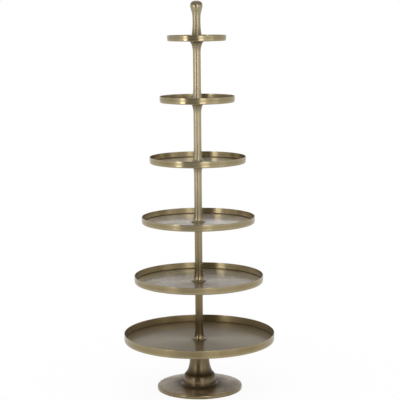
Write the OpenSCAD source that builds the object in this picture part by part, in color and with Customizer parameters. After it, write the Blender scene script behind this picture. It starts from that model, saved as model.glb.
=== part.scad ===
// Round six-tier etagere: rimmed trays clamped between flared columns on a cast foot.
// Z is up, the origin is on the floor at the foot of the central axis, units are millimetres.

/* [Trays] */
// Outside diameter of the top tray's rim
tray_1_d = 288; // [220:2:400]
// Outside diameter of the second tray's rim
tray_2_d = 368; // [240:2:500]
// Outside diameter of the third tray's rim
tray_3_d = 474; // [260:2:600]
// Outside diameter of the fourth tray's rim
tray_4_d = 560; // [280:2:700]
// Outside diameter of the fifth tray's rim
tray_5_d = 640; // [300:2:800]
// Outside diameter of the bottom tray's rim
tray_6_d = 750; // [320:2:900]
// Distance from one tray to the next
tray_pitch = 297; // [220:1:400]
// Outside height of the top tray's rim
tray_1_h = 28; // [18:1:50]
// Outside height of the second tray's rim
tray_2_h = 31; // [18:1:50]
// Outside height of the third tray's rim
tray_3_h = 32; // [18:1:50]
// Outside height of the fourth tray's rim
tray_4_h = 32; // [18:1:50]
// Outside height of the fifth tray's rim
tray_5_h = 35; // [18:1:60]
// Outside height of the bottom tray's rim
tray_6_h = 40; // [18:1:60]
// Thickness of a tray's metal
tray_t = 3; // [2:0.25:5]
// Inside radius of the bend between a tray's floor and its rim
bend_r = 2; // [1:0.5:6]
// How far a rim leans out between the bend and its top
rim_lean = 1; // [0:0.25:3]

/* [Columns] */
// Outside diameter of a column's straight run
column_d = 38; // [32:0.5:50]
// Wall of a column's straight run
column_wall = 3; // [2:0.5:5]
// Diameter of the flange that a tray rests on
head_flange_d = 76; // [64:1:110]
// Height of the flare below a tray
head_flare_h = 50; // [25:1:80]
// Thickness of that flange at its round edge
flange_t = 3; // [2:0.5:6]
// Diameter of the ring that stands on a tray
base_ring_d = 67; // [60:1:110]
// Thickness of that ring
base_ring_t = 5; // [3:0.5:8]
// Height of the slender flare above the ring
base_flare_h = 88; // [20:1:100]

/* [Finial] */
// Height of the finial
finial_h = 190; // [160:1:260]
// Diameter of the finial's flange
finial_flange_d = 74; // [60:1:110]
// Diameter of the finial's waist
waist_d = 38.5; // [36:0.5:48]
// Height of the waist above the top tray's floor
waist_z = 93; // [60:1:110]
// Diameter of the knob
knob_d = 60.5; // [52:0.5:80]
// Height of the knob's domed crown above its widest ring
crown_h = 23; // [18:1:36]
// Diameter of the level top of the crown
crown_flat_d = 12; // [4:1:30]

/* [Foot] */
// Outside diameter of the foot's disc
foot_d = 424; // [340:2:520]
// Height of the foot above its pads
foot_h = 245; // [235:1:320]
// Diameter of the foot's neck
neck_d = 95.5; // [76:0.5:110]
// Diameter of the bulge's widest ring
bulge_d = 165; // [130:1:190]
// Height of that ring above the foot's underside
bulge_z = 34; // [28:1:45]
// Height of the S curve from that ring up to the straight neck
ogee_h = 130; // [80:1:150]
// Share of the S curve that bulges, below the part that flares
ogee_share = 0.32; // [0.15:0.01:0.45]
// Width of the hollow sweep from the bulge onto the disc
sweep_w = 18; // [8:1:30]
// Height of the disc's top at the end of the sweep
disc_h = 20; // [18:0.5:24]
// Height of the disc at its rim
disc_rim_h = 16; // [11:0.5:17]
// Radius of the disc's upper edge
disc_edge_r = 5; // [2:0.5:8]
// Wall of the casting
foot_wall = 6; // [4:0.5:8]
// Thickness of the plate that closes the top of the neck
foot_plate_t = 12; // [8:1:20]
// Width of the ring that the foot rests on
rest_w = 24; // [22:1:40]

/* [Pads] */
// Diameter of a floor pad
pad_d = 18; // [10:1:20]
// Thickness of a floor pad
pad_t = 2; // [1:0.5:5]

/* [Fastenings] */
// Diameter of the studs and of the foot's bolt
stud_d = 10; // [8:1:14]
// How far a stud screws into each insert
stud_grip = 20; // [12:1:30]
// Length of the threaded inserts
insert_l = 24; // [14:1:32]
// Clearance between an insert and its tube
insert_gap = 0.05; // [0.02:0.01:0.2]
// Clearance between a stud and its insert
thread_gap = 0.05; // [0.02:0.01:0.2]
// Clearance between a stud and the hole in a tray
hole_gap = 0.5; // [0.25:0.25:1]

/* [Hidden] */
$fn = 96;
tray_ds = [tray_1_d, tray_2_d, tray_3_d, tray_4_d, tray_5_d, tray_6_d];
tray_hs = [tray_1_h, tray_2_h, tray_3_h, tray_4_h, tray_5_h, tray_6_h];
tray_count = len(tray_ds);
column_count = tray_count - 1;
pad_count = 4;
pad_turn = 45;

// Steps in each quarter of a curve, and in each small rounded edge
curve_steps = 14;
edge_steps = 6;

column_l = tray_pitch - tray_t;
column_r = column_d / 2;
bore_r = column_r - column_wall;
stud_r = stud_d / 2;
clear_r = stud_r + hole_gap;
neck_r = neck_d / 2;
bulge_r = bulge_d / 2;
foot_r = foot_d / 2;

// Free depth beyond whichever is longer, the stud or the insert, in the finial's blind bore
bore_relief = 2;

// How late the finial's waist swells out towards the knob: 1 is an even S curve
swell_power = 1.65;

// How sharply a flare turns: 2 is a quarter ellipse, less is fuller, more keeps to the shaft
head_power = 1.8;
base_power = 2.6;
finial_power = 2;

// How far round its ellipse each half of the foot's S curve runs, in degrees
ogee_turn = 73;

// The bolt and its washer follow the proportions of standard metric ones
bolt_flats = 1.7 * stud_d;
bolt_head_h = 0.64 * stud_d;
washer_d = 3 * stud_d;
washer_t = 0.25 * stud_d;

brass = [0.60, 0.52, 0.36];
tray_brass = [0.52, 0.45, 0.36];
foot_brass = [0.38, 0.31, 0.22];
steel = [0.70, 0.71, 0.72];
rubber = [0.13, 0.12, 0.12];

function names(word, count) = [for (i = [1:count]) str(word, i)];

// Underside of tray i, counted from the top
function tray_z(i) = pad_t + foot_h + (tray_count - i) * tray_pitch;

// Points on an arc of an ellipse about a centre, from angle a0 to angle a1
function arc(centre, rx, rz, a0, a1, steps) = [
    for (i = [0:steps])
        let (a = a0 + (a1 - a0) * i / steps)
        centre + [rx * cos(a), rz * sin(a)]
];

// A flange with a round edge at height 0, and the trumpet curve from it up to the shaft
function flare(flange_r, shaft_r, edge_t, height, power) =
    let (edge_r = edge_t / 2, start_r = flange_r - edge_r)
    concat(
        arc([start_r, edge_r], edge_r, edge_r, -90, 90, edge_steps),
        [for (i = [1:curve_steps])
            let (a = 90 * i / curve_steps)
            [start_r - (start_r - shaft_r) * pow(sin(a), 2 / power),
             edge_t + height * (1 - pow(cos(a), 2 / power))]]
    );

function backwards(points) = [for (i = [len(points) - 1:-1:0]) points[i]];

// The same points read backwards and turned over, for the other end of a piece of length l
function turned_over(points, l) = [for (point = backwards(points)) [point.x, l - point.y]];

module revolve(points) {
    rotate_extrude() polygon(points);
}

// A flat tray with an upright rim, a round bend and a round top edge, holed for the stud
module tray(d, rim_h) {
    outer_bend_r = bend_r + tray_t;
    bend_x = d / 2 - rim_lean - outer_bend_r;
    edge_r = tray_t / 2;
    color(tray_brass)
        revolve(concat(
            [[clear_r, 0]],
            arc([bend_x, outer_bend_r], outer_bend_r, outer_bend_r, -90, 0, edge_steps),
            arc([d / 2 - edge_r, rim_h - edge_r], edge_r, edge_r, 0, 180, edge_steps),
            arc([bend_x, outer_bend_r], bend_r, bend_r, 0, -90, edge_steps),
            [[clear_r, tray_t]]
        ));
}

// A tube that opens into a wide flange at its head and stands on a thicker ring
module column() {
    color(brass)
        revolve(concat(
            [[bore_r, 0]],
            flare(base_ring_d / 2, column_r, base_ring_t, base_flare_h, base_power),
            turned_over(flare(head_flange_d / 2, column_r, flange_t, head_flare_h, head_power), column_l),
            [[bore_r, column_l]]
        ));
}

// A plug with a screwed hole, seated inside the end of a tube
module insert() {
    color(steel)
        difference() {
            cylinder(r = bore_r - insert_gap, h = insert_l);
            translate([0, 0, -1])
                cylinder(r = stud_r + thread_gap, h = insert_l + 2);
        }
}

// The headless screw that passes through a tray and pulls two inserts together
module stud() {
    color(steel)
        translate([0, 0, -stud_grip])
            cylinder(r = stud_r, h = 2 * stud_grip + tray_t);
}

// Radius of the finial between waist and knob, at a share s of the way up
function swell_r(s) = waist_d / 2 + (knob_d - waist_d) / 2 * (1 - cos(180 * pow(s, swell_power))) / 2;

// A waisted grip that swells into a domed knob, with a blind bore for its insert
module finial() {
    knob_z = finial_h - crown_h;
    crown_flat_r = crown_flat_d / 2;
    bore_depth = max(insert_l, stud_grip) + bore_relief;
    color(brass)
        revolve(concat(
            [[bore_r, 0]],
            flare(finial_flange_d / 2, waist_d / 2, flange_t, waist_z - flange_t, finial_power),
            [for (i = [1:curve_steps])
                let (s = i / curve_steps)
                [swell_r(s), waist_z + s * (knob_z - waist_z)]],
            arc([crown_flat_r, knob_z], knob_d / 2 - crown_flat_r, crown_h, 90 / curve_steps, 90, curve_steps),
            [[0, finial_h], [0, bore_depth], [bore_r, bore_depth]]
        ));
}

// The foot's S curve from just above the bulge's widest ring up to the neck. Its two halves meet in
// line, because they share the height and the width in the same proportion.
function ogee() =
    let (
        width = (bulge_r - neck_r) / (1 - cos(ogee_turn)),
        height = ogee_h / sin(ogee_turn),
        step = ogee_turn / curve_steps,
        bulge = [width, height] * ogee_share,
        hollow = [width, height] * (1 - ogee_share)
    )
    concat(
        arc([bulge_r - bulge.x, bulge_z], bulge.x, bulge.y, step, ogee_turn, curve_steps),
        arc([neck_r + hollow.x, bulge_z + ogee_h], hollow.x, hollow.y, 180 + ogee_turn - step, 180,
            curve_steps)
    );

// Outside of the foot, from the floor edge up to the top of the neck
function foot_outside() = concat(
    [[foot_r, 0]],
    arc([foot_r - disc_edge_r, disc_rim_h - disc_edge_r], disc_edge_r, disc_edge_r, 0, 90, edge_steps),
    arc([bulge_r + sweep_w, bulge_z], sweep_w, bulge_z - disc_h, 270, 180, curve_steps),
    ogee(),
    [[neck_r, foot_h]]
);

// Inside of the casting, about one wall within the outside, from the neck's plate down to the floor
function foot_inside() = concat(
    [[neck_r - foot_wall, foot_h - foot_plate_t]],
    [for (point = backwards(ogee())) point - [foot_wall, foot_wall / 2]],
    [
        [bulge_r - foot_wall, disc_h - foot_wall],
        [foot_r - rest_w, disc_rim_h - foot_wall],
        [foot_r - rest_w, 0]
    ]
);

// The cast foot: neck, flare, bulge and disc in one hollow piece, open underneath
module foot() {
    color(foot_brass)
        translate([0, 0, pad_t])
            revolve(concat(
                foot_outside(),
                [[clear_r, foot_h], [clear_r, foot_h - foot_plate_t]],
                foot_inside()
            ));
}

module foot_washer() {
    color(steel)
        translate([0, 0, pad_t + foot_h - foot_plate_t - washer_t])
            difference() {
                cylinder(d = washer_d, h = washer_t);
                translate([0, 0, -1])
                    cylinder(r = clear_r, h = washer_t + 2);
            }
}

// The hexagon bolt that pulls the bottom column down through the bottom tray onto the foot
module foot_bolt() {
    seat_z = pad_t + foot_h - foot_plate_t - washer_t;
    shank_l = washer_t + foot_plate_t + tray_t + stud_grip;
    color(steel)
        translate([0, 0, seat_z]) {
            translate([0, 0, -bolt_head_h])
                cylinder(d = bolt_flats / cos(30), h = bolt_head_h, $fn = 6);
            cylinder(r = stud_r, h = shank_l);
        }
}

// Round pads stuck under the ring that the foot rests on
module floor_pad(i) {
    color(rubber)
        rotate(pad_turn + 360 * (i - 1) / pad_count)
            translate([foot_r - rest_w / 2, 0, 0])
                cylinder(d = pad_d, h = pad_t);
}

foot();
foot_bolt();
foot_washer();
translate([0, 0, tray_z(1) + tray_t]) finial();
translate([0, 0, tray_z(1) + tray_t]) insert();  // finial_insert
for (i = [1:pad_count])
    floor_pad(i);
for (i = [1:tray_count])
    translate([0, 0, tray_z(i)]) tray(tray_ds[i - 1], tray_hs[i - 1]);
for (i = [1:column_count]) {
    translate([0, 0, tray_z(i + 1) + tray_t]) column();
    translate([0, 0, tray_z(i + 1) + tray_t]) insert();
    translate([0, 0, tray_z(i) - insert_l]) insert();
    translate([0, 0, tray_z(i)]) stud();
}
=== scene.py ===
"""Round six-tier etagere in antique bronze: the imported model's looks, from the floor pads up."""
import math

import bmesh
import bpy
from mathutils import Matrix, Vector


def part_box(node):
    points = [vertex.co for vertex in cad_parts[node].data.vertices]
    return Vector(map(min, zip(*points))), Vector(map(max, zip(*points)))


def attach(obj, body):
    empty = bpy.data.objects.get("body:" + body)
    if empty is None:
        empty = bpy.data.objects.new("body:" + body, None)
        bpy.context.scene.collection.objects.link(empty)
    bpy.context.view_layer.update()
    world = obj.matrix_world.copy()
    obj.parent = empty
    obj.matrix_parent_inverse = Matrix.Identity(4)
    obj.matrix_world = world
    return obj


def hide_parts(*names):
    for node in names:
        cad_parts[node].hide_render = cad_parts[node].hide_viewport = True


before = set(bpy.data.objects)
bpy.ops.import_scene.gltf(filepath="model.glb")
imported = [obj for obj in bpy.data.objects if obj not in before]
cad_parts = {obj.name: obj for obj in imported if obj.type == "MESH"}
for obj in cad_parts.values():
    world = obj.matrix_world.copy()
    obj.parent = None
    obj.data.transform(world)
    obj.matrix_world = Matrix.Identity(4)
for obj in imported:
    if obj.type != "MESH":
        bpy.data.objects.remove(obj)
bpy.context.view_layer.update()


# Floor pads.
# Four thin discs of black rubber, cut from sheet and stuck under the ring that the foot
# rests on. They stay as modelled and only get their finish, matt and a little dusty.

class Socket:
    """A node's output in a material's tree. Arithmetic on it adds Math nodes."""

    def __init__(self, tree, output=None):
        self.tree, self.output = tree, output

    def node(self, kind, settings=(), inputs=(), output=0):
        """Adds a node, sets it up, fills its inputs with values or links, and gives one output."""
        made = self.tree.nodes.new("ShaderNode" + kind)
        for name, value in dict(settings).items():
            setattr(made, name, value)
        for name, value in dict(inputs).items():
            if isinstance(value, Socket):
                self.tree.links.new(value.output, made.inputs[name])
            else:
                made.inputs[name].default_value = value
        return Socket(self.tree, made.outputs[output] if made.outputs else None)

    def math(self, operation, *values):
        """A Math node over these values, in their order."""
        return self.node("Math", {"operation": operation}, dict(enumerate(values)))

    def __add__(self, other):
        return self.math("ADD", self, other)

    def __sub__(self, other):
        return self.math("SUBTRACT", self, other)

    def __rsub__(self, other):
        return self.math("SUBTRACT", other, self)

    def __mul__(self, other):
        return self.math("MULTIPLY", self, other)

    def __truediv__(self, other):
        return self.math("DIVIDE", self, other)

    __radd__ = __add__
    __rmul__ = __mul__

    def clamped(self):
        """This value, kept from 0 to 1."""
        return self.node("Clamp", (), {"Value": self})

    def rise(self, low, high):
        """0 below low and 1 above high, with a smooth rise between them."""
        return self.node("MapRange", {"interpolation_type": "SMOOTHSTEP"},
                         {"Value": self, "From Min": low, "From Max": high})

    def colour(self, at_zero, at_one):
        """The colour at_zero where this value is 0, turning to at_one where it is 1."""
        return self.node("Mix", {"data_type": "RGBA"}, {0: self, 6: at_zero, 7: at_one}, 2)

    def noise(self, scale, detail=3.0, roughness=0.5):
        """A noise from 0 to 1 over these coordinates."""
        return self.node("TexNoise", (), {"Vector": self, "Scale": scale, "Detail": detail,
                                          "Roughness": roughness})


def material(name, build):
    """A node material whose shader is what build makes from an empty tree."""
    made = bpy.data.materials.new(name)
    made.use_nodes = True
    made.node_tree.nodes.clear()
    shader = build(Socket(made.node_tree))
    shader.node("OutputMaterial", (), {"Surface": shader})
    return made


def rubber(start):
    place = start.node("TexCoord", (), (), "Object")
    dust = place.noise(55.0, 4.0).rise(0.45, 0.75)
    grain = place.noise(900.0, 2.0)
    return start.node("BsdfPrincipled", (), {
        "Base Color": dust.colour((0.020, 0.019, 0.018, 1), (0.075, 0.068, 0.058, 1)),
        "Roughness": 0.72 + 0.16 * dust,
        "Normal": start.node("Bump", (), {"Height": grain, "Distance": 0.0002})})


def finish_node(name, finish):
    """Gives a solid that stays as modelled its finish."""
    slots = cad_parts[name].data.materials
    slots.clear()
    slots.append(finish)


pad_rubber = material("matt_black_rubber", rubber)
for i in range(1, 5):
    finish_node(f"floor_pad_{i}", pad_rubber)


# Foot.
# One thin-walled aluminium casting, turned outside and plated in bronze whose dark tone is partly
# painted shade: a straight neck, an S curve that flares and then bulges, and a wide disc with a
# soft edge. It stands on the pads and is bolted up into the bottom column.

def arc(x, z, rx, rz, start, end, steps, worn_and_shiny=(0.0, 0.0), dark=(0.0, 0.0)):
    """Profile points (radius, height, wear, dirt) on an ellipse's arc.

    Sizes are in millimetres, angles in degrees. Both marks, rubbing that also stands for painted
    highlights and grime that also stands for painted shade, are given at the arc's start and end.
    """
    points = []
    for i in range(steps + 1):
        share = i / steps
        turn = math.radians(start + (end - start) * share)
        points.append((x + rx * math.cos(turn), z + rz * math.sin(turn),
                       worn_and_shiny[0] + (worn_and_shiny[1] - worn_and_shiny[0]) * share,
                       dark[0] + (dark[1] - dark[0]) * share))
    return points


def turned_piece(name, profile, base_z, finish, node, segments=256):
    """Spins a profile about the Z axis into the smooth piece that stands for a node.

    The profile is in millimetres above base_z, which is in metres. Its rubbing with painted
    highlights, its grime with painted shade, and the length along it, become layers that the finish
    reads. Away from the axis it is closed.
    """
    bm = bmesh.new()
    layers = [bm.verts.layers.float.new(word) for word in ("wear_and_shine", "dirt_and_shade", "along")]
    verts, along, before = [], 0.0, None
    for radius, height, worn_and_shiny, dark in profile:
        point = Vector((max(radius, 0.0), 0.0, base_z * 1000 + height)) / 1000
        along += (point - before).length if before else 0.0
        before = point
        vert = bm.verts.new(point)
        for layer, value in zip(layers, (worn_and_shiny, dark, along)):
            vert[layer] = value
        verts.append(vert)
    edges = [bm.edges.new(pair) for pair in zip(verts, verts[1:])]
    if profile[0][0] > 0 and profile[-1][0] > 0:
        edges.append(bm.edges.new((verts[-1], verts[0])))
    bmesh.ops.spin(bm, geom=verts + edges, cent=(0, 0, 0), axis=(0, 0, 1), angle=math.tau,
                   steps=segments, use_merge=True, use_duplicate=False)
    bmesh.ops.remove_doubles(bm, verts=bm.verts, dist=1e-7)
    bmesh.ops.recalc_face_normals(bm, faces=bm.faces)
    mesh = bpy.data.meshes.new(name)
    bm.to_mesh(mesh)
    bm.free()
    mesh.shade_smooth()
    mesh.set_sharp_from_angle(angle=math.radians(38))
    mesh.materials.append(finish)
    piece = bpy.data.objects.new(name, mesh)
    bpy.context.scene.collection.objects.link(piece)
    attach(piece, "root")
    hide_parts(node)


def bronze(pale, brown, soot_and_shade_colour, shade_to_light, smooth, level_smooth, spread, grain,
           low_shade=0.0, turned=1.0, film=0.0):
    """Builds old bronze: pale where it is rubbed or has a painted highlight, brown where patina
    stayed, and nearly black in corners and hollows as painted shade.

    level is the pair of greyer tones that faces lying flat have near the floor and at the top,
    painted shade low down and painted light high up. smooth and level_smooth are the roughness of
    the polished and of the flat faces, spread the share of the patina, grain how far the turning
    lines stretch a highlight, age the painted shade that darkens the metal near the floor, turned
    how deep the turning lines are and film how much of a lustreless skin lies on the metal.
    """
    def build(start):
        place = start.node("TexCoord", (), (), "Object")
        worn_and_shiny, dark, along = [start.node("Attribute", {"attribute_name": word}, (), "Fac")
                             for word in ("wear_and_shine", "dirt_and_shade", "along")]
        x, y, z = [start.node("SeparateXYZ", (), {0: place}, axis) for axis in range(3)]
        radius = (x * x + y * y).math("SQRT") + 0.0001

        def rings(around, per_metre):
            """Coordinates that change slowly round the axis and quickly along the profile."""
            return start.node("CombineXYZ", (), {
                0: x / radius * around, 1: y / radius * around, 2: along * per_metre})

        # Which faces lie flat, which are near the floor, and the noises over all of them.
        facing = start.node("NewGeometry", (), (), "Normal")
        flat = start.node("SeparateXYZ", (), {0: facing}, 2).rise(0.55, 0.9)
        low = 1 - z.rise(0.2, 0.9)
        lines = rings(1.7, 620.0).noise(1.0, 3.0, 0.6)
        fine_lines = rings(3.1, 2100.0).noise(1.0, 2.0)
        clouds = place.noise(9.0, 5.0, 0.62)
        spots = place.noise(70.0, 4.0, 0.7)
        waves = place.noise(7.0, 1.0)

        # Patina in clouds, more of it in the corners as grime and painted shade and near the floor
        # as painted shade, and none where it is rubbed or has a painted highlight.
        mottle = clouds * 0.8 + spots * 0.1 + lines * 0.2 - 0.05
        patina = mottle.rise(0.5 - spread, 0.78 - spread)
        low_shading = low_shade * (1 - z.rise(0.15, 1.3))
        patina = (patina + 0.8 * dark - 0.9 * worn_and_shiny + low_shading).clamped()
        # Soot lies over the metal in a few spots, and its colour is painted shade in the corners
        # and hollows that the profiles mark dark.
        shade_and_soot = (dark * 0.85 + spots.rise(0.62, 0.75) * 0.12).clamped()
        polished = patina.colour(pale, brown)
        # Flat faces take the greyer level tones under their patina: painted shade near the floor
        # and painted light at the top.
        flat_painted_tone = patina.colour((1 - low).colour(*shade_to_light), brown)
        metal = shade_and_soot.colour((0.9 * flat).colour(polished, flat_painted_tone), soot_and_shade_colour)

        # Grime, painted shade and patina take the polish away, and rubbing and painted highlights
        # bring it back. The turning lines cross it.
        rough = smooth + (level_smooth - smooth + 0.08 * low) * flat
        rough = rough + 0.08 * patina + 0.06 * turned * (fine_lines - 0.5)
        rough = (rough + 0.22 * dark - 0.12 * worn_and_shiny).clamped()
        lacquer = (0.4 - 0.35 * dark - 0.25 * flat * low).clamped()
        relief = (lines * 0.6 + fine_lines * 0.4) * (0.001 * turned) + waves * 0.02
        return start.node("BsdfPrincipled", (), {
            "Base Color": metal, "Metallic": (1 - film) - 0.3 * flat, "Roughness": rough,
            "Anisotropic": grain, "Anisotropic Rotation": 0.25,
            "Coat Weight": lacquer, "Coat Roughness": 0.22, "Coat IOR": 1.5,
            "Normal": start.node("Bump", (), {"Height": relief, "Distance": 0.001})})
    return build


pad_t, foot_h, foot_wall, plate_t, rest_w, hole_r = 2.0, 245.0, 6.0, 12.0, 24.0, 5.5
foot_r, disc_h, disc_rim_h, disc_edge_r = 212.0, 20.0, 16.0, 5.0
neck_r, bulge_r, bulge_z, sweep_w = 47.75, 82.5, 34.0, 18.0
ogee_h, ogee_share, ogee_turn = 130.0, 0.32, 73.0
# How dark and rough the neck is made: painted shade.
neck_shade = 0.42
# How far out, how far down and how dark the disc is round the bulge: painted shade.
painted_shade_ring = ((85.0, 3.0, 0.0), (45.0, 1.6, 0.2), (14.0, 0.5, 0.5))


def ogee(inset, drop, worn_and_shiny, dark, shade_and_soot):
    """The S curve from the bulge's widest ring up to the neck, moved inwards and down.

    A full arc and a hollow one meet where both have turned by ogee_turn. The curve is paler and
    smoother at the ring as a painted highlight, has painted shade where the arcs meet, and has the
    darkening named dark, painted shade, from half-way up the hollow one.
    Each arc starts a little further on than the last one ended, so that no point comes twice.
    """
    width = (bulge_r - neck_r) / (1 - math.cos(math.radians(ogee_turn)))
    height = ogee_h / math.sin(math.radians(ogee_turn))
    full_w, full_h = width * ogee_share, height * ogee_share
    hollow_w, hollow_h = width * (1 - ogee_share), height * (1 - ogee_share)
    full_x, full_z = bulge_r - full_w - inset, bulge_z - drop
    hollow_x, hollow_z = neck_r + hollow_w - inset, bulge_z + ogee_h - drop
    meet, half_way = 180 + ogee_turn, 180 + ogee_turn / 2
    return (arc(full_x, full_z, full_w, full_h, 3, ogee_turn, 20,
                (worn_and_shiny, 0.0), (0.25 * shade_and_soot, shade_and_soot))
            + arc(hollow_x, hollow_z, hollow_w, hollow_h, meet - 2, half_way, 14,
                  (0.0, 0.0), (shade_and_soot, dark))
            + arc(hollow_x, hollow_z, hollow_w, hollow_h, half_way - 2, 180, 18,
                  (0.0, 0.0), (dark, dark)))


foot_profile = (
    # The disc, from its outer edge in to the bulge, with painted shade along its lower edge, round
    # the bulge and in the sweep up to it.
    [(foot_r, 0.0, 0.0, 0.6)]
    + arc(foot_r - disc_edge_r, disc_rim_h - disc_edge_r, disc_edge_r, disc_edge_r, 0, 90, 10,
          (0.5, 0.7))
    + [(foot_r - 12.0, disc_rim_h + 0.25, 0.1, 0.0)]
    + [(bulge_r + sweep_w + out, disc_h - down, 0.0, dark) for out, down, dark in painted_shade_ring]
    + arc(bulge_r + sweep_w, bulge_z, sweep_w, bulge_z - disc_h, 270, 180, 20,
          (0.0, 0.2), (0.85, 0.6))
    # The S curve and the neck up to the bottom tray, with a painted highlight on the bulge's ring
    # and painted shade in the hollow, on the neck and where the neck meets the tray.
    + ogee(0.0, 0.0, 0.8, neck_shade, 1.0)
    + [(neck_r, foot_h - 12.0, 0.0, neck_shade), (neck_r, foot_h - 1.0, 0.0, 0.8)]
    + [(neck_r - 0.6, foot_h, 0.0, 1.0)]
    # The plate with its bolt hole and the hollow inside, down to the ring that it rests on.
    + [(hole_r, foot_h, 0.0, 1.0), (hole_r, foot_h - plate_t, 0.0, 1.0)]
    + [(neck_r - foot_wall, foot_h - plate_t, 0.0, 0.8)]
    + ogee(foot_wall, foot_wall / 2, 0.0, 0.6, 0.6)[::-1]
    + [(bulge_r - foot_wall, disc_h - foot_wall, 0.0, 0.7)]
    + [(foot_r - rest_w, disc_rim_h - foot_wall, 0.0, 0.6), (foot_r - rest_w, 0.0, 0.3, 0.2)]
)
# Its darker tones are partly painted shade.
foot_bronze = material("bronze_casting_with_painted_shade", bronze(
    pale=(0.33, 0.25, 0.14, 1), brown=(0.19, 0.135, 0.07, 1), soot_and_shade_colour=(0.04, 0.026, 0.013, 1),
    shade_to_light=((0.42, 0.335, 0.225, 1), (0.42, 0.335, 0.225, 1)),
    smooth=0.23, level_smooth=0.17, spread=0.08, grain=0.5))
turned_piece("foot_casting", foot_profile, pad_t / 1000, foot_bronze, "foot")


# Foot bolt and washer.
# A zinc-plated hexagon bolt and its washer, pushed up through the plate inside the neck and
# screwed into the bottom column. Out of sight from above, so they only get their finish.

def zinc_plate(start):
    place = start.node("TexCoord", (), (), "Object")
    spangle = place.noise(260.0, 3.0)
    stain = place.noise(40.0, 4.0).rise(0.5, 0.7)
    return start.node("BsdfPrincipled", (), {
        "Base Color": stain.colour((0.62, 0.63, 0.64, 1), (0.46, 0.45, 0.42, 1)),
        "Metallic": 1.0, "Roughness": 0.3 + 0.12 * spangle + 0.1 * stain,
        "Normal": start.node("Bump", (), {"Height": spangle, "Distance": 0.00005})})


zinc_steel = material("zinc_plated_steel", zinc_plate)
for name in ("foot_bolt", "foot_washer"):
    finish_node(name, zinc_steel)


# Trays.
# Six discs of 3 mm aluminium sheet, spun into a flat floor and an upright rim, brushed in rings,
# plated in bronze and rubbed back so that the rim's edge shines. Each is clamped between the
# piece under it and the column or finial on it.

# Tray number: diameter, rim height, and on the inside of the rim a painted highlight, which also
# makes the metal smoother, and painted shade.
tray_sizes = {
    6: (750.0, 40.0, 0.1, 0.35),
    5: (640.0, 35.0, 0.4, 0.05),
    4: (560.0, 32.0, 0.35, 0.1),
    3: (474.0, 32.0, 0.35, 0.05),
    2: (368.0, 31.0, 0.0, 0.3),
    1: (288.0, 28.0, 0.0, 0.2),
}
tray_t, bend_r, rim_lean = 3.0, 2.0, 1.0
# Painted shade lies round the column's flange out to flange_shade_r and is gone at clear_r.
flange_shade_r, clear_r = 36.0, 46.0
# The trays' level tones are painted shade and light on the floors, dark low down and light high up,
# and age adds painted shade near the floor.
tray_bronze = material("antique_bronze_trays", bronze(
    pale=(0.44, 0.365, 0.21, 1), brown=(0.34, 0.255, 0.12, 1), soot_and_shade_colour=(0.055, 0.038, 0.024, 1),
    shade_to_light=((0.18, 0.143, 0.112, 1), (0.64, 0.585, 0.54, 1)),
    smooth=0.25, level_smooth=0.20, spread=0.04, grain=0.65, low_shade=0.4))

for i, (diameter, rim_h, inner_shine, inner_shade) in tray_sizes.items():
    rim_r, edge_r, bend = diameter / 2, tray_t / 2, bend_r + tray_t
    bend_x, edge_z = rim_r - rim_lean - bend, rim_h - edge_r
    tray_profile = (
        # The underside and the outside of the rim, which leans out as it rises, with painted light
        # at the bend and painted shade up the middle.
        [(hole_r, 0.0, 0.0, 0.5), (flange_shade_r, 0.0, 0.0, 0.5), (clear_r, 0.0, 0.0, 0.1)]
        + [(bend_x - 14.0, 0.0, 0.0, 0.0)]
        + arc(bend_x, bend, bend, bend, -90, 0, 12, (0.2, 0.6))
        + [(rim_r - rim_lean + 0.04, bend + 4.0, 0.25, 0.0)]
        + [(rim_r - rim_lean + 0.2, bend + 9.0, 0.0, 0.12)]
        + [(rim_r - 0.2, edge_z - 8.0, 0.0, 0.12), (rim_r - 0.1, edge_z - 2.5, 0.0, 0.0)]
        + arc(rim_r - edge_r, edge_z, edge_r, edge_r, 0, 180, 12, (0.9, 0.9))
        # The inside of the rim and the floor in to the hole, with painted shade in the bend at the
        # rim's foot, on the floor next to it and round the column's flange.
        + [(rim_r - tray_t - 0.1, edge_z - 3.0, inner_shine, 0.5 * inner_shade)]
        + [(rim_r - tray_t - rim_lean + 0.1, bend + 3.5, inner_shine, inner_shade)]
        + arc(bend_x, bend, bend_r, bend_r, 0, -90, 8, (0.0, 0.0), (0.7, 0.7))
        + [(bend_x - 3.0, tray_t, 0.0, 0.35), (bend_x - 10.0, tray_t, 0.0, 0.0)]
        + [(clear_r, tray_t, 0.0, 0.0), (flange_shade_r, tray_t, 0.0, 0.3), (hole_r, tray_t, 0.0, 0.9)]
    )
    turned_piece(f"tray_{i}_spinning", tray_profile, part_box(f"tray_{i}")[0].z, tray_bronze,
                 f"tray_{i}")


# Columns.
# Five lengths of 38 mm tube, opened into a trumpet with a thin flange at the head and a thicker
# ring at the base. Plated and polished, the upper three paler, as painted light, and duller than
# the lower two, and held by the screws in the plugs inside their ends.

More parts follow.
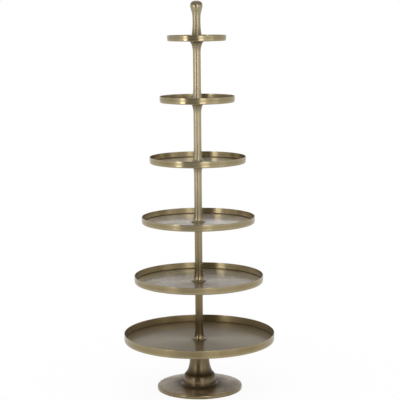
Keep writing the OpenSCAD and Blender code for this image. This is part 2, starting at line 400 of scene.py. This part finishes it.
def flare(flange_r, shaft_r, edge_t, height, power, seam_shade, curve_shade, shine=0.0):
    """A round-edged flange at height 0 and the trumpet curve from it up to the shaft.

    A power of 2 makes the curve a quarter ellipse, and a larger one keeps it closer to the shaft.
    The flange is rubbed bright above its seam, which also paints a highlight there, and darker at
    the seam itself as painted shade. The curve's darkening, painted shade, thins out towards the
    shaft, and shine is rubbing and a painted highlight next to the flange, gone half-way along the
    curve.
    """
    edge_r, steps = edge_t / 2, 32
    start_r = flange_r - edge_r
    curve = []
    for step in range(1, steps + 1):
        share = step / steps
        turn = math.radians(90 * share)
        curve.append((start_r - (start_r - shaft_r) * math.sin(turn) ** (2 / power),
                      edge_t + height * (1 - math.cos(turn) ** (2 / power)),
                      shine * max(0, 1 - 2 * share), curve_shade * (1 - share)))
    return (arc(start_r, edge_r, edge_r, edge_r, -90, 0, 6, (0.0, 0.6), (seam_shade, 0.0))
            + arc(start_r, edge_r, edge_r, edge_r, 15, 90, 5,
                  (0.9, max(shine, 0.5)), (0.0, curve_shade))
            + curve)


def turned_over(points, length):
    """The same profile points upside down, at the far end of a piece of that length."""
    return [(radius, length - height, worn_and_shiny, dark)
            for radius, height, worn_and_shiny, dark in reversed(points)]


column_r, bore_r, column_l = 19.0, 16.0, 294.0
base_ring_r, base_ring_t, base_flare_h, base_power = 33.5, 5.0, 88.0, 2.6
head_flange_r, flange_t, head_flare_h, head_power = 38.0, 3.0, 50.0, 1.8
column_base = flare(base_ring_r, column_r, base_ring_t, base_flare_h, base_power, 0.6, 0.0, 0.9)
column_head = flare(head_flange_r, column_r, flange_t, head_flare_h, head_power, 0.8, 0.8)
column_profile = (
    [(bore_r, 0.0, 0.0, 1.0)]
    + column_base
    + turned_over(column_head, column_l)
    + [(bore_r, column_l, 0.0, 1.0)]
)
# Lit and shaded copies of one bronze: the lower tubes' darker brown is painted shade, the upper
# tubes' paler tone painted light, and age darkens all of them towards the floor as painted shade.
upper_tube_bronze = material("antique_bronze_upper_tubes", bronze(
    pale=(0.47, 0.40, 0.25, 1), brown=(0.22, 0.165, 0.08, 1), soot_and_shade_colour=(0.05, 0.035, 0.018, 1),
    shade_to_light=((0.44, 0.365, 0.225, 1), (0.44, 0.365, 0.225, 1)),
    smooth=0.32, level_smooth=0.32, spread=-0.05, grain=0.0, low_shade=1.1, turned=0.05, film=0.1))
lower_tube_bronze = material("antique_bronze_lower_tubes", bronze(
    pale=(0.46, 0.38, 0.22, 1), brown=(0.195, 0.14, 0.06, 1), soot_and_shade_colour=(0.045, 0.03, 0.014, 1),
    shade_to_light=((0.44, 0.365, 0.225, 1), (0.44, 0.365, 0.225, 1)),
    smooth=0.2, level_smooth=0.2, spread=-0.05, grain=0.0, low_shade=1.0, turned=0.05))
for i in range(5, 0, -1):
    tube_bronze = lower_tube_bronze if i > 3 else upper_tube_bronze
    turned_piece(f"column_{i}_tube", column_profile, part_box(f"column_{i}")[0].z, tube_bronze,
                 f"column_{i}", segments=128)


# Inserts and studs.
# Threaded steel plugs pressed into the tube ends and the headless screws between them,
# which clamp each tray. All hidden inside, zinc plated.

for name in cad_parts:
    if name.startswith(("lower_insert", "upper_insert", "finial_insert", "stud")):
        finish_node(name, zinc_steel)


# Finial.
# A turned grip, plated in bronze: a trumpet on a thin flange, a waist, and a swell that ends in
# a domed knob. It is screwed onto the top stud and clamps the top tray.

finial_h, finial_flange_r, bore_depth = 190.0, 37.0, 26.0
waist_r, waist_z, knob_r, crown_h, crown_flat_r = 19.25, 93.0, 30.25, 23.0, 6.0
swell_power, swell_steps = 1.65, 36
knob_z = finial_h - crown_h
swell = []
for step in range(1, swell_steps + 1):
    share = step / swell_steps
    swell_r = waist_r + (knob_r - waist_r) * (1 - math.cos(math.pi * share ** swell_power)) / 2
    swell.append((swell_r, waist_z + share * (knob_z - waist_z), 0.2 * share, 0.0))
finial_profile = (
    [(bore_r, 0.0, 0.0, 1.0)]
    + flare(finial_flange_r, waist_r, flange_t, waist_z - flange_t, 2.0, 0.9, 0.3)
    + swell
    + arc(crown_flat_r, knob_z, knob_r - crown_flat_r, crown_h, 2.5, 90, 30, (0.25, 0.1))
    + [(0.0, finial_h, 0.25, 0.0), (0.0, bore_depth, 0.0, 1.0), (bore_r, bore_depth, 0.0, 1.0)]
)
finial_bronze = material("antique_bronze_finial", bronze(
    pale=(0.42, 0.355, 0.215, 1), brown=(0.23, 0.175, 0.09, 1), soot_and_shade_colour=(0.05, 0.036, 0.02, 1),
    shade_to_light=((0.44, 0.365, 0.225, 1), (0.44, 0.365, 0.225, 1)),
    smooth=0.27, level_smooth=0.27, spread=0.0, grain=0.0, turned=0.05, film=0.04))
turned_piece("finial_turning", finial_profile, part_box("finial")[0].z, finial_bronze,
             "finial", segments=128)


# Floor and background.
# A plain pale floor that keeps the shadow under the foot, and a white surround. Both are white
# when seen directly or mirrored, while the surround's scattered light is a little stronger.

floor_r, plain_share, surround_light = 90.0, 0.93, 1.2


def stage_mesh(name, bm, finish, unseen_by=()):
    """Puts a mesh on the stage, hidden from the named kinds of rays."""
    mesh = bpy.data.meshes.new(name)
    bm.to_mesh(mesh)
    bm.free()
    mesh.materials.append(finish)
    thing = bpy.data.objects.new(name, mesh)
    bpy.context.scene.collection.objects.link(thing)
    for rays in unseen_by:
        setattr(thing, "visible_" + rays, False)


def seen_directly(start):
    """1 for a ray from the camera, a mirror or a clear body, and 0 for light that is scattered."""
    seen, mirrored, through = [start.node("LightPath", (), (), "Is " + kind + " Ray")
                               for kind in ("Camera", "Glossy", "Transmission")]
    return seen + mirrored + through


def pale_floor(start):
    white = start.node("Emission", (), {"Color": (1, 1, 1, 1), "Strength": 1.0})
    paper = start.node("BsdfDiffuse", (), {"Color": (0.8, 0.8, 0.8, 1)})
    return start.node("MixShader", (), {0: plain_share * seen_directly(start), 1: paper, 2: white})


bm = bmesh.new()
bmesh.ops.create_circle(bm, cap_ends=True, segments=96, radius=floor_r)
stage_mesh("floor", bm, material("pale_paper", pale_floor))

world = bpy.data.worlds.new("white_surround")
world.use_nodes = True
world.node_tree.nodes.clear()
sky = Socket(world.node_tree)
plain = seen_directly(sky).clamped()
surround = plain + surround_light * (1 - plain)
background = sky.node("Background", (), {"Color": (1, 1, 1, 1), "Strength": surround})
sky.node("OutputWorld", (), {"Surface": background})
bpy.context.scene.world = world


# Studio cards.
# What the polished metal mirrors: dark flags round the camera, grey walls and ceiling, a light
# over the front right, and a toned floor with two darker strips under the front flags. Only
# reflections see them, so the floor and the other views stay clear.

def card(name, start_turn, end_turn, one_edge, other_edge, radiance):
    """Sweeps a card about the stand between two turns from the camera's side, in degrees.

    Its edges are given as (distance from the axis, height) in metres. To the right is positive.
    """
    bm = bmesh.new()
    first = math.radians(start_turn - 90)
    ends = [bm.verts.new((reach * math.cos(first), reach * math.sin(first), height))
            for reach, height in (one_edge, other_edge)]
    bmesh.ops.spin(bm, geom=ends + [bm.edges.new(ends)], cent=(0, 0, 0), axis=(0, 0, 1),
                   angle=math.radians(end_turn - start_turn), steps=24, use_duplicate=False)
    paint = material(name + "_paint", lambda start: start.node(
        "Emission", (), {"Color": (1, 1, 1, 1), "Strength": radiance}))
    stage_mesh(name, bm, paint, ("camera", "diffuse", "transmission", "shadow", "volume_scatter"))


far, floor_z, strip_z, flag_z, light_z, top_z = 9.0, 0.003, 0.004, 0.5, 3.55, 3.6
card("front_flag", -37, 8, (far, flag_z), (far, top_z), 0.10)
card("front_low_flag", -37, 8, (far, floor_z), (far, flag_z), 0.15)
card("right_near_wall", 8, 50, (far, floor_z), (far, top_z), 0.95)
card("right_wall", 50, 68, (far, floor_z), (far, top_z), 1.2)
card("right_far_wall", 68, 165, (far, floor_z), (far, top_z), 0.68)
card("left_near_wall", -70, -37, (far, floor_z), (far, top_z), 0.95)
card("left_wall", -165, -70, (far, floor_z), (far, top_z), 0.7)
card("rear_wall", 165, 195, (far, 2.45), (far, top_z), 0.3)
card("ceiling", 0, 360, (0.0, top_z), (far, top_z), 0.3)
card("front_top_light", 0, 32, (3.5, light_z), (far, light_z), 1.5)
card("floor_tone", 0, 360, (0.22, floor_z), (far, floor_z), 0.75)
card("floor_near_flag", -37, 10, (0.42, strip_z), (1.15, strip_z), 0.55)
card("floor_far_flag", -37, 10, (3.7, strip_z), (far, strip_z), 0.42)


# Lamps.
# Two tall soft boxes in front of the stand, left and right of the camera.

def softbox(name, turn, distance, height, width, tall, power):
    """Aims an upright lamp at the axis from a turn in degrees, sizes in metres, power in watts."""
    lamp = bpy.data.lights.new(name, "AREA")
    lamp.shape, lamp.size, lamp.size_y, lamp.energy = "RECTANGLE", width, tall, power
    box = bpy.data.objects.new(name, lamp)
    bpy.context.scene.collection.objects.link(box)
    angle = math.radians(turn)
    box.location = (distance * math.sin(angle), -distance * math.cos(angle), height)
    box.rotation_euler = (math.radians(90), 0, angle)
    box.visible_camera = False


softbox("left_softbox", -44.0, 3.3, 1.45, 0.75, 1.9, 11.5)
softbox("right_softbox", 17.0, 3.5, 1.4, 1.0, 2.0, 9.5)


# Camera.
# Fitted to the tray ellipses: 1.87 m up, 6.30 m in front and tilted down 8.25 degrees, with a
# small roll for the photo's lean and a small pan that centres the stand.

camera_y, camera_z, tilt, roll, pan = -6.300, 1.867, 8.253, -0.51, -0.085
view = bpy.data.cameras.new("camera")
view.lens, view.sensor_width = 116.19, 36.0
view.clip_start, view.clip_end = 0.1, 300.0
camera = bpy.data.objects.new("camera", view)
bpy.context.scene.collection.objects.link(camera)
camera.matrix_world = (
    Matrix.Translation((0.0, camera_y, camera_z))
    @ Matrix.Rotation(math.radians(pan), 4, "Z")
    @ Matrix.Rotation(math.radians(90 - tilt), 4, "X")
    @ Matrix.Rotation(math.radians(roll), 4, "Z"))
bpy.context.scene.camera = camera
bpy.context.scene.view_settings.view_transform = "Standard"
